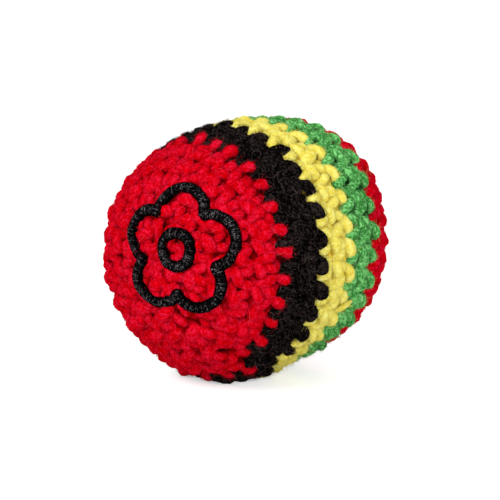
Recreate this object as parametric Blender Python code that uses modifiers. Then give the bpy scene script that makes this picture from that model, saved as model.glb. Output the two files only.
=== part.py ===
"""Crocheted footbag.

A ball of single crochet worked in rounds with one hook: a red front dome, then
black, yellow and green rings, and a red back dome that closes over a small
cloth pouch of plastic pellets. The crochet axis lies along Y, the front dome
faces -Y, and the ball rests on the flat that its pellets press into its
underside. Lengths are in metres and the origin is where that flat stands.
"""
import math

import bmesh
import bpy
import numpy as np
from mathutils import Vector

# Stuffed ball, measured over the yarn.
BALL_WIDTH = 0.0505
FRONT_DEPTH = 0.0287
BACK_DEPTH = 0.0263
FRONT_SQUARENESS = 2.48
BACK_SQUARENESS = 2.86

# Crochet: where the black yarn joins in, and how much cloth each ring covers.
BLACK_START = 0.0152
BLACK_CLOTH = 0.0100
YELLOW_CLOTH = 0.0078
GREEN_CLOTH = 0.0084
COVER_THICKNESS = 0.0032
JOIN_GAP = 0.0003

# Rounds worked in each yarn, with the stitches in every round.
FRONT_STITCHES = (6, 12, 18, 24, 30, 30)
RING_STITCHES = (30, 30)
BACK_STITCHES = (30, 30, 30, 24, 18, 12, 6)

# Stitch relief: depth of the holes, how far a stitch top reaches into the next
# round, and how far round the ball each stitch sits past the one below it.
HOLE_DEPTH = 0.0014
TOP_REACH = 0.0012
FIRST_STITCH_DEG = -20.4
STITCH_LEAN_DEG = 3.5

# A round's three rows: groove, rise and crown, as shares of the hole depth on
# a stitch and between two stitches. The rows next to a groove follow its reach.
GROOVE_SHARES = (0.4, 1.0)
RISE_SHARES = (0.1, 0.3)
CROWN_SHARES = (0.0, 0.4)
FOLLOW_SHARES = (1.0, 0.5)
ROWS_PER_ROUND = 3
INNER_ROWS_PER_ROUND = 1

# How the bag settles: each swelling has a direction (X, Y, Z), a spread in
# degrees and a height, and a hollow has a height below zero.
REST_PRESS = 0.00175
BELLY_SWELL = 0.0034
CROWN_HOLLOW = -0.0013
SHOULDER_SWELL = 0.00125
FLANK_HOLLOW = -0.00075
SWELLINGS = (
    ((-0.15, -0.15, -0.97), 27.5, BELLY_SWELL),
    ((-0.38, -0.58, 0.71), 49.0, CROWN_HOLLOW),
    ((0.67, 0.36, 0.65), 22.5, SHOULDER_SWELL),
    ((0.58, 0.21, -0.78), 16.0, FLANK_HOLLOW),
)

# Pouch of thin cloth, with its neck gathered and tied under the back dome.
POUCH_WALL = 0.0005
NECK_RADIUS = 0.0026
NECK_BORE = 0.0008
NECK_LENGTH = 0.0050
NECK_DIMPLE = 0.0110
TIE_RADIUS = 0.0005

# Facets round the ball: two to a stitch on the covers, fewer inside.
COVER_COLUMNS = 60
POUCH_COLUMNS = 30
TIE_COLUMNS = 20
TIE_SIDES = 8
POUCH_ROWS = 16

BALL_RADIUS = BALL_WIDTH / 2
FLOOR = -(BALL_RADIUS + BELLY_SWELL - REST_PRESS)
ROUND_STITCHES = FRONT_STITCHES + 3 * RING_STITCHES + BACK_STITCHES
HALF_STITCH = math.pi * BALL_RADIUS / max(ROUND_STITCHES)
EDGE_GAP = JOIN_GAP * math.hypot(1.0, 2 * TOP_REACH / HALF_STITCH)

RED = (0.546, 0.002, 0.012)
BLACK = (0.012, 0.007, 0.007)
YELLOW = (0.768, 0.665, 0.119)
GREEN = (0.107, 0.366, 0.093)
MUSLIN = (0.70, 0.66, 0.55)
THREAD = (0.80, 0.79, 0.75)
PELLETS = (0.78, 0.80, 0.82)


def clear_scene():
    """Remove every object that the open file holds."""
    for thing in list(bpy.data.objects):
        bpy.data.objects.remove(thing, do_unlink=True)


def meridian():
    """Cloth length, place along the axis and radius, from front to back pole."""
    turn = np.linspace(0.0, math.pi, 1441)
    front = turn < math.pi / 2
    power = np.where(front, 2 / FRONT_SQUARENESS, 2 / BACK_SQUARENESS)
    depth = np.where(front, -FRONT_DEPTH, BACK_DEPTH)
    along = depth * np.abs(np.cos(turn)) ** power
    radius = BALL_RADIUS * np.abs(np.sin(turn)) ** power
    radius[[0, -1]] = 0.0
    step = np.hypot(np.diff(along), np.diff(radius))
    return np.concatenate([[0.0], np.cumsum(step)]), along, radius


CLOTH, ALONG, RADIUS = meridian()
CLOTH_LENGTH = CLOTH[-1]


def round_tops():
    """Cloth length from the front pole to the top of every crochet round."""
    black_edge = float(np.interp(-BLACK_START, ALONG, CLOTH))
    yellow_edge = black_edge + BLACK_CLOTH
    green_edge = yellow_edge + YELLOW_CLOTH
    back_edge = green_edge + GREEN_CLOTH
    edges = (0.0, black_edge, yellow_edge, green_edge, back_edge, float(CLOTH_LENGTH))
    counts = (len(FRONT_STITCHES),) + 3 * (len(RING_STITCHES),) + (len(BACK_STITCHES),)
    tops = [0.0]
    for start, end, count in zip(edges[:-1], edges[1:], counts):
        tops += [start + (end - start) * (step + 1) / count for step in range(count)]
    return np.array(tops), counts


TOPS, ROUND_COUNTS = round_tops()


def stitch_wave(number, angle):
    """0 on a finished round's stitch tops, 1 between them and at the poles."""
    if number in (0, len(ROUND_STITCHES)):
        return 1.0
    top = math.radians(FIRST_STITCH_DEG + STITCH_LEAN_DEG * number)
    return 0.5 - 0.5 * math.cos(ROUND_STITCHES[number - 1] * (angle - top))


def blend_share(shares, wave):
    """Value of a pair of shares, on a stitch and between stitches."""
    return shares[0] + (shares[1] - shares[0]) * wave


def stitch_hollow(worked, angle):
    """How far the yarn lies under the ball's skin, `worked` rounds from the pole."""
    finished = int(worked + 0.5 / ROWS_PER_ROUND)
    row = round((worked - finished) * ROWS_PER_ROUND)
    if row == 0:
        return HOLE_DEPTH * blend_share(GROOVE_SHARES, stitch_wave(finished, angle))
    shares = RISE_SHARES if row == 1 else CROWN_SHARES
    return HOLE_DEPTH * blend_share(shares, stitch_wave(finished + 1, angle))


def top_shift(worked, angle):
    """How far a row runs ahead of its mean line as it follows the stitch tops."""
    finished = round(worked)
    if finished in (0, len(ROUND_STITCHES)):
        return 0.0
    rows_away = round(abs(worked - finished) * ROWS_PER_ROUND)
    return TOP_REACH * FOLLOW_SHARES[rows_away] * (1 - 2 * stitch_wave(finished, angle))


def swell(direction):
    """Height of the settled skin over the turned one, in a direction."""
    height = 0.0
    for centre, spread, rise in SWELLINGS:
        away = direction.angle(Vector(centre), 0.0) / math.radians(spread)
        height += rise * math.exp(-away * away)
    return height


def ball_point(cloth, angle, depth, hollow):
    """Place on the settled bag: cloth length, angle from the top, depth below."""
    cloth = min(max(cloth, 0.0), float(CLOTH_LENGTH))
    step = CLOTH_LENGTH / 400
    low, high = max(cloth - step, 0.0), min(cloth + step, float(CLOTH_LENGTH))
    rise = np.interp(high, CLOTH, RADIUS) - np.interp(low, CLOTH, RADIUS)
    run = np.interp(high, CLOTH, ALONG) - np.interp(low, CLOTH, ALONG)
    if cloth in (0.0, float(CLOTH_LENGTH)):
        rise, run = (1.0, 0.0) if cloth == 0.0 else (-1.0, 0.0)
    size = math.hypot(rise, run)
    out, forward = run / size, -rise / size
    radius = float(np.interp(cloth, CLOTH, RADIUS))
    along = float(np.interp(cloth, CLOTH, ALONG))

    def at(below):
        reach = radius - below * out
        place = along - below * forward
        spot = Vector((reach * math.sin(angle), place, reach * math.cos(angle)))
        return spot + spot.normalized() * swell(spot.normalized())

    skin = at(depth)
    clearance = (skin.z - FLOOR - depth) / HOLE_DEPTH
    settled = at(depth + hollow * min(max(clearance, 0.0), 1.0))
    settled.z = max(settled.z, FLOOR + depth)
    return settled


def worked_rounds(cloth):
    """Rounds worked from the front pole to a cloth length."""
    return float(np.interp(cloth, TOPS, np.arange(len(TOPS))))


def turned_blank(name, outline, closed, columns):
    """Turn an outline of (cloth length, depth) points into a straight sleeve."""
    mesh = bpy.data.meshes.new(name)
    points = [(BALL_RADIUS - depth, 0.0, -cloth) for cloth, depth in outline]
    edges = [(index, index + 1) for index in range(len(points) - 1)]
    if closed:
        edges.append((len(points) - 1, 0))
    mesh.from_pydata(points, edges, [])
    blank = bpy.data.objects.new(name, mesh)
    bpy.context.scene.collection.objects.link(blank)
    screw = blank.modifiers.new("turn", "SCREW")
    screw.axis = "Z"
    screw.steps = columns
    screw.render_steps = columns
    screw.use_merge_vertices = True
    screw.merge_threshold = JOIN_GAP / 10
    evaluated = blank.evaluated_get(bpy.context.evaluated_depsgraph_get())
    turned = bpy.data.meshes.new_from_object(evaluated)
    bpy.data.objects.remove(blank, do_unlink=True)
    bpy.data.meshes.remove(mesh)
    return turned


def lay_on_ball(mesh, stitched):
    """Wrap a straight sleeve round the settled ball and close its poles."""
    lean = STITCH_LEAN_DEG - 180 / max(ROUND_STITCHES)
    for vertex in mesh.vertices:
        depth = BALL_RADIUS - math.hypot(vertex.co.x, vertex.co.y)
        cloth = -vertex.co.z
        angle = math.atan2(vertex.co.y, vertex.co.x)
        hollow = 0.0
        if stitched:
            worked = worked_rounds(cloth)
            angle += math.radians(FIRST_STITCH_DEG + lean * worked)
            cloth += top_shift(worked, angle)
            if depth < COVER_THICKNESS / 2:
                hollow = stitch_hollow(worked, angle)
                depth = 0.0
        vertex.co = ball_point(cloth, angle, depth, hollow)
    wrapped = bmesh.new()
    wrapped.from_mesh(mesh)
    bmesh.ops.remove_doubles(wrapped, verts=wrapped.verts, dist=JOIN_GAP / 100)
    bmesh.ops.recalc_face_normals(wrapped, faces=wrapped.faces)
    wrapped.to_mesh(mesh)
    wrapped.free()


def add_piece(name, mesh, colour, roughness, collection):
    """Put a finished mesh in the footbag's collection with its own material."""
    material = bpy.data.materials.new(name)
    material.use_nodes = True
    shader = material.node_tree.nodes["Principled BSDF"]
    shader.inputs["Base Color"].default_value = (*colour, 1.0)
    shader.inputs["Roughness"].default_value = roughness
    shader.inputs["Metallic"].default_value = 0.0
    mesh.name = name
    mesh.materials.append(material)
    mesh.shade_smooth()
    piece = bpy.data.objects.new(name, mesh)
    collection.objects.link(piece)
    return piece


def cover_outline(first, last):
    """Outline of the yarn worked from round `first` to round `last`."""
    start, end = float(first), float(last)
    rounds = last - first
    outer = np.linspace(start, end, rounds * ROWS_PER_ROUND + 1)
    inner = np.linspace(end, start, rounds * INNER_ROWS_PER_ROUND + 1)
    lengths = np.interp(outer, np.arange(len(TOPS)), TOPS)
    returns = np.interp(inner, np.arange(len(TOPS)), TOPS)
    half_gap = EDGE_GAP / 2
    if first > 0:
        lengths[0] += half_gap
        returns[-1] += half_gap
    if last < len(ROUND_STITCHES):
        lengths[-1] -= half_gap
        returns[0] -= half_gap
    outside = [(float(length), 0.0) for length in lengths]
    inside = [(float(length), COVER_THICKNESS) for length in returns]
    if last == len(ROUND_STITCHES):
        return outside[::-1] + inside[::-1]
    return outside + inside


def crocheted_covers(collection):
    """The five lengths of yarn, each one closed shell of stitch relief."""
    names = ("front_cover", "black_band", "yellow_band", "green_band", "back_cover")
    colours = (RED, BLACK, YELLOW, GREEN, RED)
    first = 0
    covers = []
    for name, colour, count in zip(names, colours, ROUND_COUNTS):
        last = first + count
        ring = first > 0 and last < len(ROUND_STITCHES)
        mesh = turned_blank(name, cover_outline(first, last), ring, COVER_COLUMNS)
        lay_on_ball(mesh, stitched=True)
        covers.append(add_piece(name, mesh, colour, 0.9, collection))
        first = last
    return covers


def dimple_depth(cloth, skin_depth):
    """Depth of a pouch layer, which dips round the neck under the back dome."""
    share = min(max((CLOTH_LENGTH - cloth) / NECK_DIMPLE, 0.0), 1.0)
    dip = 0.5 + 0.5 * math.cos(math.pi * share)
    return skin_depth + NECK_LENGTH * dip


def pouch_rows():
    """Cloth lengths at which the pouch and the pellets have a row of facets."""
    neck_outside = float(CLOTH_LENGTH) - NECK_RADIUS
    return [float(cloth) for cloth in np.linspace(0.0, neck_outside, POUCH_ROWS)]


def pouch_outline():
    """Pouch cloth outside and inside, up the gathered neck and back again."""
    outside = COVER_THICKNESS + JOIN_GAP
    inside = outside + POUCH_WALL
    rows = pouch_rows()
    bore = CLOTH_LENGTH - NECK_BORE
    outer = [(cloth, dimple_depth(cloth, outside)) for cloth in rows]
    rim = [(rows[-1], outside), (bore, outside)]
    inner = [(cloth, dimple_depth(cloth, inside)) for cloth in [bore] + rows[::-1]]
    return outer + rim + inner


def tie_outline():
    """Round section of the thread that closes the pouch's neck."""
    centre = CLOTH_LENGTH - NECK_RADIUS - JOIN_GAP - TIE_RADIUS
    depth = COVER_THICKNESS + JOIN_GAP + NECK_LENGTH / 2
    turns = [2 * math.pi * side / TIE_SIDES for side in range(TIE_SIDES)]
    return [(centre + TIE_RADIUS * math.sin(turn), depth - TIE_RADIUS * math.cos(turn))
            for turn in turns]


def fill_outline():
    """Outside of the packed pellets, from the front pole to the back pole."""
    depth = COVER_THICKNESS + JOIN_GAP + POUCH_WALL + JOIN_GAP
    rows = pouch_rows() + [float(CLOTH_LENGTH)]
    return [(cloth, dimple_depth(cloth, depth)) for cloth in rows]


def inner_pieces(collection):
    """The tied pouch and the pellets that fill it."""
    pouch = turned_blank("pouch", pouch_outline(), False, POUCH_COLUMNS)
    lay_on_ball(pouch, stitched=False)
    tie = turned_blank("tie", tie_outline(), True, TIE_COLUMNS)
    lay_on_ball(tie, stitched=False)
    fill = turned_blank("fill", fill_outline(), False, POUCH_COLUMNS)
    lay_on_ball(fill, stitched=False)
    return [
        add_piece("liner_pouch", pouch, MUSLIN, 0.85, collection),
        add_piece("pouch_tie", tie, THREAD, 0.6, collection),
        add_piece("pellet_fill", fill, PELLETS, 0.4, collection),
    ]


def stand_on_origin(covers, pieces):
    """Move every piece so that the ball stands centred on the origin."""
    corners = [vertex.co for cover in covers for vertex in cover.data.vertices]
    low = Vector([min(corner[axis] for corner in corners) for axis in range(3)])
    high = Vector([max(corner[axis] for corner in corners) for axis in range(3)])
    base = Vector(((low.x + high.x) / 2, (low.y + high.y) / 2, low.z))
    for piece in pieces:
        for vertex in piece.data.vertices:
            vertex.co -= base
        piece.data.update()


def build_footbag():
    """Model the footbag."""
    clear_scene()
    footbag = bpy.data.collections.new("footbag")
    bpy.context.scene.collection.children.link(footbag)
    covers = crocheted_covers(footbag)
    stand_on_origin(covers, covers + inner_pieces(footbag))


build_footbag()
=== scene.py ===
import math

import bmesh
import bpy
import numpy as np
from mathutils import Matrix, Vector
from mathutils.bvhtree import BVHTree


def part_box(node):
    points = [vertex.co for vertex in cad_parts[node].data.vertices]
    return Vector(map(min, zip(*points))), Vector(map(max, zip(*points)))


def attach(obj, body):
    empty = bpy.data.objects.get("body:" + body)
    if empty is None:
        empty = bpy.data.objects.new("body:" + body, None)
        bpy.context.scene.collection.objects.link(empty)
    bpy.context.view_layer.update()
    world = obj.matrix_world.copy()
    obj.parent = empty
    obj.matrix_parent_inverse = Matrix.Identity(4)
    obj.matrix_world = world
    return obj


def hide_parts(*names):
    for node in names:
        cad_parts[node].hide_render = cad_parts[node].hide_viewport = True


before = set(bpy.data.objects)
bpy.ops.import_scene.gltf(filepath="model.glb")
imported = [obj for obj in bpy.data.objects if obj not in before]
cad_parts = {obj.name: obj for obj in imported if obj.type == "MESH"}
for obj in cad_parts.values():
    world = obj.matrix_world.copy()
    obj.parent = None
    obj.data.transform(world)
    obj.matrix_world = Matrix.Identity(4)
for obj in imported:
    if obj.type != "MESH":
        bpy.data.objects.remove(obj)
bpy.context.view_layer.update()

# Front dome: one length of red acrylic yarn, worked in a spiral of six rounds
# from the pole outwards. Every single crochet shows two fat legs that fan out
# of the round below and one top loop that pokes up between two stitches.

# The ball's turned shape in mm, round the middle of its rings. Each swelling is a
# way out from that middle, a spread in degrees and a rise.
MM = 0.001
TINY = 1e-9
BALL_WIDTH = 50.5
FRONT_DEPTH = 28.7
BACK_DEPTH = 26.3
FRONT_SQUARENESS = 2.48
BACK_SQUARENESS = 2.86
PROFILE_POINTS = 1441
SLOPE_STEP = 0.2
RING_CENTRE = np.array((-0.0859, 1.0794, 26.9))
SWELLINGS = (
    ((-0.15, -0.15, -0.97), 27.5, 3.4),
    ((-0.38, -0.58, 0.71), 49.0, -1.3),
    ((0.67, 0.36, 0.65), 22.5, 1.25),
    ((0.58, 0.21, -0.78), 16.0, -0.75),
)


def unit(vectors):
    """The same directions, each one long."""
    return vectors / np.maximum(np.linalg.norm(vectors, axis=-1, keepdims=True), TINY)


def turns(count):
    """Even angles once round."""
    return 2 * math.pi * np.arange(count) / count


def ball_profile():
    """Cloth length, place along the crochet axis and radius, pole to pole, in mm."""
    turn = np.linspace(0.0, math.pi, PROFILE_POINTS)
    front = turn < math.pi / 2
    power = np.where(front, 2 / FRONT_SQUARENESS, 2 / BACK_SQUARENESS)
    depth = np.where(front, -FRONT_DEPTH, BACK_DEPTH)
    along = depth * np.abs(np.cos(turn)) ** power
    radius = BALL_WIDTH / 2 * np.abs(np.sin(turn)) ** power
    radius[[0, -1]] = 0.0
    step = np.hypot(np.diff(along), np.diff(radius))
    return np.concatenate([[0.0], np.cumsum(step)]), along, radius


CLOTH, ALONG, RADIUS = ball_profile()
CLOTH_LENGTH = float(CLOTH[-1])


def swell(direction):
    """How far the pellets push the skin out of its turned shape, in mm."""
    height = np.zeros(direction.shape[:-1])
    for centre, spread, rise in SWELLINGS:
        axis = np.array(centre) / np.linalg.norm(centre)
        away = np.degrees(np.arccos(np.clip(direction @ axis, -1.0, 1.0))) / spread
        height += rise * np.exp(-away * away)
    return height


def on_ball(cloth, angle, height):
    """Places in mm from cloth length, angle from the top and height over the skin."""
    cloth, angle, height = np.broadcast_arrays(np.clip(cloth, 0.0, CLOTH_LENGTH), angle, height)
    low = np.clip(cloth - SLOPE_STEP, 0.0, CLOTH_LENGTH)
    high = np.clip(cloth + SLOPE_STEP, 0.0, CLOTH_LENGTH)
    rise = np.interp(high, CLOTH, RADIUS) - np.interp(low, CLOTH, RADIUS)
    run = np.interp(high, CLOTH, ALONG) - np.interp(low, CLOTH, ALONG)
    size = np.hypot(rise, run)
    reach = np.interp(cloth, CLOTH, RADIUS) + height * (run / size)
    place = np.interp(cloth, CLOTH, ALONG) - height * (rise / size)
    spot = np.stack([reach * np.sin(angle), place, reach * np.cos(angle)], -1)
    direction = unit(spot)
    spot = spot + direction * swell(direction)[..., None] + RING_CENTRE
    spot[..., 2] = np.maximum(spot[..., 2], np.maximum(-height, 0.0))
    return spot


# Rounds: where each colour starts, how many stitches a round has, where the top
# loops of the rounds between two colours stand, and how the spiral climbs to the
# next round at its join. The climb eases off over a few rounds at each pole.
BLACK_START = 15.2
BAND_CLOTH = (10.0, 7.8, 8.4)
ROUND_STITCHES = (6, 12, 18, 24, 30, 30) + 6 * (30,) + (30, 30, 30, 24, 18, 12, 6)
LAST_ROUND = len(ROUND_STITCHES)
ROUNDS_OF = {"front": (0, 6), "black": (6, 8), "yellow": (8, 10), "green": (10, 12), "back": (12, LAST_ROUND)}
NUB_ROUNDS = (6, 8, 10, 12)
NUB_DEGREES = (0.6, 8.9, 15.9, 21.3)
LEAN_DEGREES = 3.9
JOIN_DEGREES = 150.0
JOIN_STEP = 4.0
JOIN_SPREAD = 225.0
FRONT_EASE = 5
BACK_EASE = 6


def round_tops():
    """Cloth length from the front pole to the top of every round, in mm."""
    edges = [0.0, float(np.interp(-BLACK_START, ALONG, CLOTH))]
    for cloth in BAND_CLOTH:
        edges.append(edges[-1] + cloth)
    edges.append(CLOTH_LENGTH)
    tops = [0.0]
    for (first, last), start, end in zip(ROUNDS_OF.values(), edges, edges[1:]):
        tops += [start + (end - start) * (n + 1) / (last - first) for n in range(last - first)]
    return np.array(tops)


TOPS = round_tops()


def first_nub(number):
    """Angle in degrees of the first top loop of a round."""
    outside = min(number - NUB_ROUNDS[0], 0) + max(number - NUB_ROUNDS[-1], 0)
    return float(np.interp(number, NUB_ROUNDS, NUB_DEGREES)) + LEAN_DEGREES * outside


def round_line(number, angle):
    """Cloth length of a round's top line: it climbs into the next one at the join."""
    join = JOIN_DEGREES + JOIN_STEP * (number - NUB_ROUNDS[0])
    past = np.mod(np.degrees(angle) - join, 360.0)
    climb = np.clip(1 - past / JOIN_SPREAD, 0.0, 1.0)
    climb = climb * min(max((number - 1) / FRONT_EASE, 0.0), 1.0)
    climb = climb * min(max((LAST_ROUND - number) / BACK_EASE, 0.0), 1.0)
    return TOPS[number] + climb * (TOPS[min(number + 1, LAST_ROUND)] - TOPS[number])


# The lobes of a stitch that show. Each point is pitches round the ball from the
# stitch's foot, rounds up the cloth, mm over the skin and share of the yarn's width.
LEFT_LEG = (
    (0.00, -0.44, -2.9, 0.55),
    (-0.04, -0.16, -1.80, 0.84),
    (-0.17, 0.22, -1.20, 1.02),
    (-0.36, 0.60, -1.00, 1.06),
    (-0.47, 0.93, -2.3, 0.75),
)
RIGHT_LEG = (
    (0.05, -0.42, -3.0, 0.50),
    (0.07, -0.14, -2.05, 0.78),
    (0.13, 0.26, -1.55, 0.98),
    (0.26, 0.64, -1.02, 1.04),
    (0.30, 0.97, -2.3, 0.75),
)
TOP_LOOP = (
    (-0.80, 0.80, -2.1, 0.80),
    (-0.64, 1.00, -1.20, 0.98),
    (-0.43, 1.13, -0.70, 1.05),
    (-0.22, 1.20, -0.95, 1.00),
    (-0.06, 1.14, -2.1, 0.78),
)
BACK_LOOP = (
    (-0.20, 0.66, -2.6, 0.80),
    (-0.05, 0.86, -2.0, 0.92),
    (0.12, 0.95, -1.85, 0.95),
    (0.30, 0.89, -2.0, 0.92),
    (0.45, 0.68, -2.6, 0.80),
)
EDGE_LOOP = (
    (-0.54, 0.62, -2.2, 0.70),
    (-0.47, 0.92, -1.25, 0.76),
    (-0.41, 1.16, -0.72, 0.98),
    (-0.36, 1.34, -0.95, 0.98),
    (-0.32, 1.44, -2.5, 0.60),
)
STITCH = (LEFT_LEG, RIGHT_LEG, TOP_LOOP, BACK_LOOP)
EDGE_STITCH = (LEFT_LEG, RIGHT_LEG, EDGE_LOOP, BACK_LOOP)
EDGE_REACH = 0.94
NUB_PLACE = -0.39
NEW_FOOT_DROP = 0.6
NEW_FOOT_WIDTH = 0.85
PLAIN_RADIUS = 1.15
SINK_SHARE = 1.3
FULL_PITCH = 5.28
LEAST_WIDTH = 0.74
LOBE_RINGS = 12
LOBE_SIDES = 12

# How uneven handwork is. Reach, width and lumps are shares, and the others are in
# the units of the lobes' points.
FOOT_UNEVEN = 0.045
REACH_UNEVEN = 0.05
DROP_UNEVEN = 0.12
LOBE_SHIFT = 0.02
POINT_SHIFT = 0.014
LOBE_REACH = 0.03
LOBE_DROP = 0.09
WIDTH_UNEVEN = 0.05
YARN_LUMPS = 0.06


def smooth_path(points, rings):
    """A smooth curve through each row of points, with the given number of rings."""
    before = 2 * points[:, :1] - points[:, 1:2]
    after = 2 * points[:, -1:] - points[:, -2:-1]
    padded = np.concatenate([before, points, after], 1)
    where = np.linspace(0, points.shape[1] - 1, rings)
    index = np.minimum(where.astype(int), points.shape[1] - 2)
    t = (where - index)[None, :, None]
    a, b, c, d = (padded[:, index + shift] for shift in range(4))
    bend = 2 * a - 5 * b + 4 * c - d
    return 0.5 * (2 * b + (c - a) * t + bend * t * t + (3 * b - a - 3 * c + d) * t ** 3)


def stitch_paths(number, radius, chance, wobble):
    """Centre lines and widths of every lobe in one crochet round."""

    def uneven(size, *shape):
        return chance.normal(0, size * wobble, shape)

    stitches = ROUND_STITCHES[number - 1]
    pitch = 2 * math.pi / stitches
    foot = math.radians(first_nub(number)) - NUB_PLACE * pitch + pitch * np.arange(stitches)
    foot = foot + uneven(FOOT_UNEVEN, stitches) * pitch
    reach = 1 + uneven(REACH_UNEVEN, stitches)
    drop = uneven(DROP_UNEVEN, stitches) - SINK_SHARE * (radius - PLAIN_RADIUS)
    start = round_line(number - 1, foot)[:, None]
    end = round_line(number, foot)[:, None]
    edge = number == NUB_ROUNDS[0]
    paths, widths = [], []
    for points in EDGE_STITCH if edge else STITCH:
        rough = np.repeat(np.array(points)[None], stitches, 0)
        if edge and points is not EDGE_LOOP:
            rough[:, :, 1] *= EDGE_REACH
        if number - 1 in NUB_ROUNDS and points in (LEFT_LEG, RIGHT_LEG):
            rough[:, :2, 2] -= NEW_FOOT_DROP
            rough[:, :2, 3] *= NEW_FOOT_WIDTH
        rough[:, :, 0] += uneven(LOBE_SHIFT, stitches, 1) + uneven(POINT_SHIFT, *rough.shape[:2])
        rough[:, :, 1] = rough[:, :, 1] * reach[:, None] + uneven(LOBE_REACH, stitches, 1)
        rough[:, :, 2] += drop[:, None] + uneven(LOBE_DROP, stitches, 1)
        rough[:, :, 3] *= 1 + uneven(WIDTH_UNEVEN, *rough.shape[:2])
        smooth = smooth_path(rough, LOBE_RINGS)
        cloth = start + smooth[:, :, 1] * (end - start)
        paths.append(np.stack([cloth, foot[:, None] + smooth[:, :, 0] * pitch, smooth[:, :, 2]], -1))
        pinch = np.interp(np.clip(cloth, 0, CLOTH_LENGTH), CLOTH, RADIUS) * pitch / FULL_PITCH
        width = radius * smooth[:, :, 3] * (1 + uneven(WIDTH_UNEVEN, stitches, 1))
        widths.append(width * np.clip(pinch, LEAST_WIDTH, 1.0))
    return np.concatenate(paths), np.concatenate(widths)


def cell_corners(rows, columns):
    """Row and column of the four corners of every cell in a grid."""
    row, column = np.meshgrid(np.arange(rows), np.arange(columns), indexing="ij")
    return np.stack([row, column], -1).reshape(-1, 1, 2) + np.array(((0, 0), (0, 1), (1, 1), (1, 0)))


def ring_faces(rings, sides, closed=False):
    """Quads between rings of points; closed also joins the last ring to the first."""
    corner = cell_corners(rings if closed else rings - 1, sides)
    return corner[..., 0] % rings * sides + corner[..., 1] % sides


def copied(faces, each, count):
    """The faces of one shape for all its copies, which have so many points each."""
    return (faces[None] + each * np.arange(count)[:, None, None]).reshape(-1, faces.shape[-1])


def above_floor(places):
    """The places, with none of them under the floor."""
    places[..., 2] = np.maximum(places[..., 2], 0.0)
    return places


def lobe_faces():
    """Faces of one lobe, with the ring and side of every corner and its flat layout.

    The faces round the lobe's two tips have their last corner twice."""
    end, tip = LOBE_RINGS - 1, LOBE_RINGS * LOBE_SIDES
    grid = cell_corners(end, LOBE_SIDES)
    faces = ring_faces(LOBE_RINGS, LOBE_SIDES).tolist()
    maps = grid.tolist()
    sheet = (grid + np.array((1, 0))).tolist()
    for step in range(LOBE_SIDES):
        after = (step + 1) % LOBE_SIDES
        faces.append((after, step, tip, tip))
        maps.append(((0, step + 1), (0, step), (0, step), (0, step)))
        sheet.append(((1, step + 1), (1, step), (0, step), (0, step)))
        faces.append((end * LOBE_SIDES + step, end * LOBE_SIDES + after, tip + 1, tip + 1))
        maps.append(((end, step), (end, step + 1), (end, step), (end, step)))
        sheet.append(((end + 1, step), (end + 1, step + 1), (end + 2, step), (end + 2, step)))
    return np.array(faces), np.array(maps), np.array(sheet) / np.array((LOBE_RINGS + 1, LOBE_SIDES))


OUTWARD_STEP = 0.5
END_TAPER = 6.0
END_WIDTH = 0.35
END_CURVE = 0.7
END_CAP = 0.4
YARN_FLATNESS = 0.82
LONGEST_START = 500
MAP_LENGTH = 10


def yarn_tubes(paths, widths, chance):
    """Closed tubes of yarn with their maps, and the skin that fibres root in."""
    cloth, angle, height = np.moveaxis(paths, -1, 0)
    centre = on_ball(cloth, angle, height)
    out = on_ball(cloth, angle, height + OUTWARD_STEP) - centre
    tangent = unit(np.gradient(centre, axis=1))
    side = unit(np.cross(tangent, out))
    up = np.cross(side, tangent)
    lobes = len(paths)
    along = np.linspace(0, 1, LOBE_RINGS)
    half = widths * np.minimum(1.0, END_TAPER * np.minimum(along, 1 - along) + END_WIDTH) ** END_CURVE
    turn = turns(LOBE_SIDES) - math.pi / 2
    across = (half[..., None] * np.cos(turn))[..., None] * side[:, :, None]
    across = across + (half[..., None] * np.sin(turn) * YARN_FLATNESS)[..., None] * up[:, :, None]
    across = across * (1 + chance.normal(0, YARN_LUMPS, across.shape[:3])[..., None])
    ring = above_floor(centre[:, :, None] + across)
    across = ring - centre[:, :, None]
    tips = tangent[:, [0, -1]] * np.array([-END_CAP, END_CAP])[None, :, None] * half[:, [0, -1], None]
    tips = above_floor(centre[:, [0, -1]] + tips)
    places = np.concatenate([ring.reshape(lobes, -1, 3), tips], 1)
    steps = np.linalg.norm(np.diff(centre, axis=1), axis=-1)
    length = np.concatenate([np.zeros((lobes, 1)), np.cumsum(steps, 1)], 1)
    length = length + chance.uniform(0, LONGEST_START, (lobes, 1))
    faces, maps, sheet = lobe_faces()
    u = length[:, maps[..., 0]]
    v = np.broadcast_to(maps[..., 1] / LOBE_SIDES, u.shape)
    maps = np.stack([u / MAP_LENGTH, v], -1).reshape(-1, 4, 2)
    over = height[:, :, None] + (across * out[:, :, None]).sum(-1) / OUTWARD_STEP
    over = np.concatenate([over.reshape(lobes, -1), height[:, [0, -1]]], 1)
    faces = copied(faces, places.shape[1], lobes)
    yarn = (places.reshape(-1, 3), over.ravel(), faces, maps, np.repeat(sheet[None], lobes, 0))
    return yarn, (ring, over, unit(across), tangent)


# Fibres: a short nap that lies along the yarn, and a few long stray hairs. Two
# heights that no yarn reaches mark the brighter nap, whose paler colour is partly
# lint and partly a painted sheen, and the palest hairs, which are pale lint.
OUTER_SIDES = (3, LOBE_SIDES - 2)
LAST_ROW = LOBE_RINGS - 3
ROOT_UNEVEN = 0.15
PLY_TWIST = 0.55
NAP_LENGTH = 0.68
NAP_LENGTH_SPREAD = 0.35
NAP_RADIUS = 0.029
NAP_LIFT = 0.34
NAP_LAY = 0.85
NAP_UNEVEN = 0.42
STRAY_LENGTH = 1.5
STRAY_LENGTH_SPREAD = 0.4
STRAY_RADIUS = 0.016
STRAY_LIFT = 0.6
STRAY_LAY = 0.7
STRAY_UNEVEN = 0.45
STRAY_BEND = (-0.1, 0.5)
STRAY_CURL = 0.6
STRAY_POINTS = (-0.1, 0.5, 1.0)
FIBRE_MAP = 50
LINT_AND_SHEEN_MARK = 6.6
PALE_MARK = 9.0
PALE_SHARE = 0.12


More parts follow.
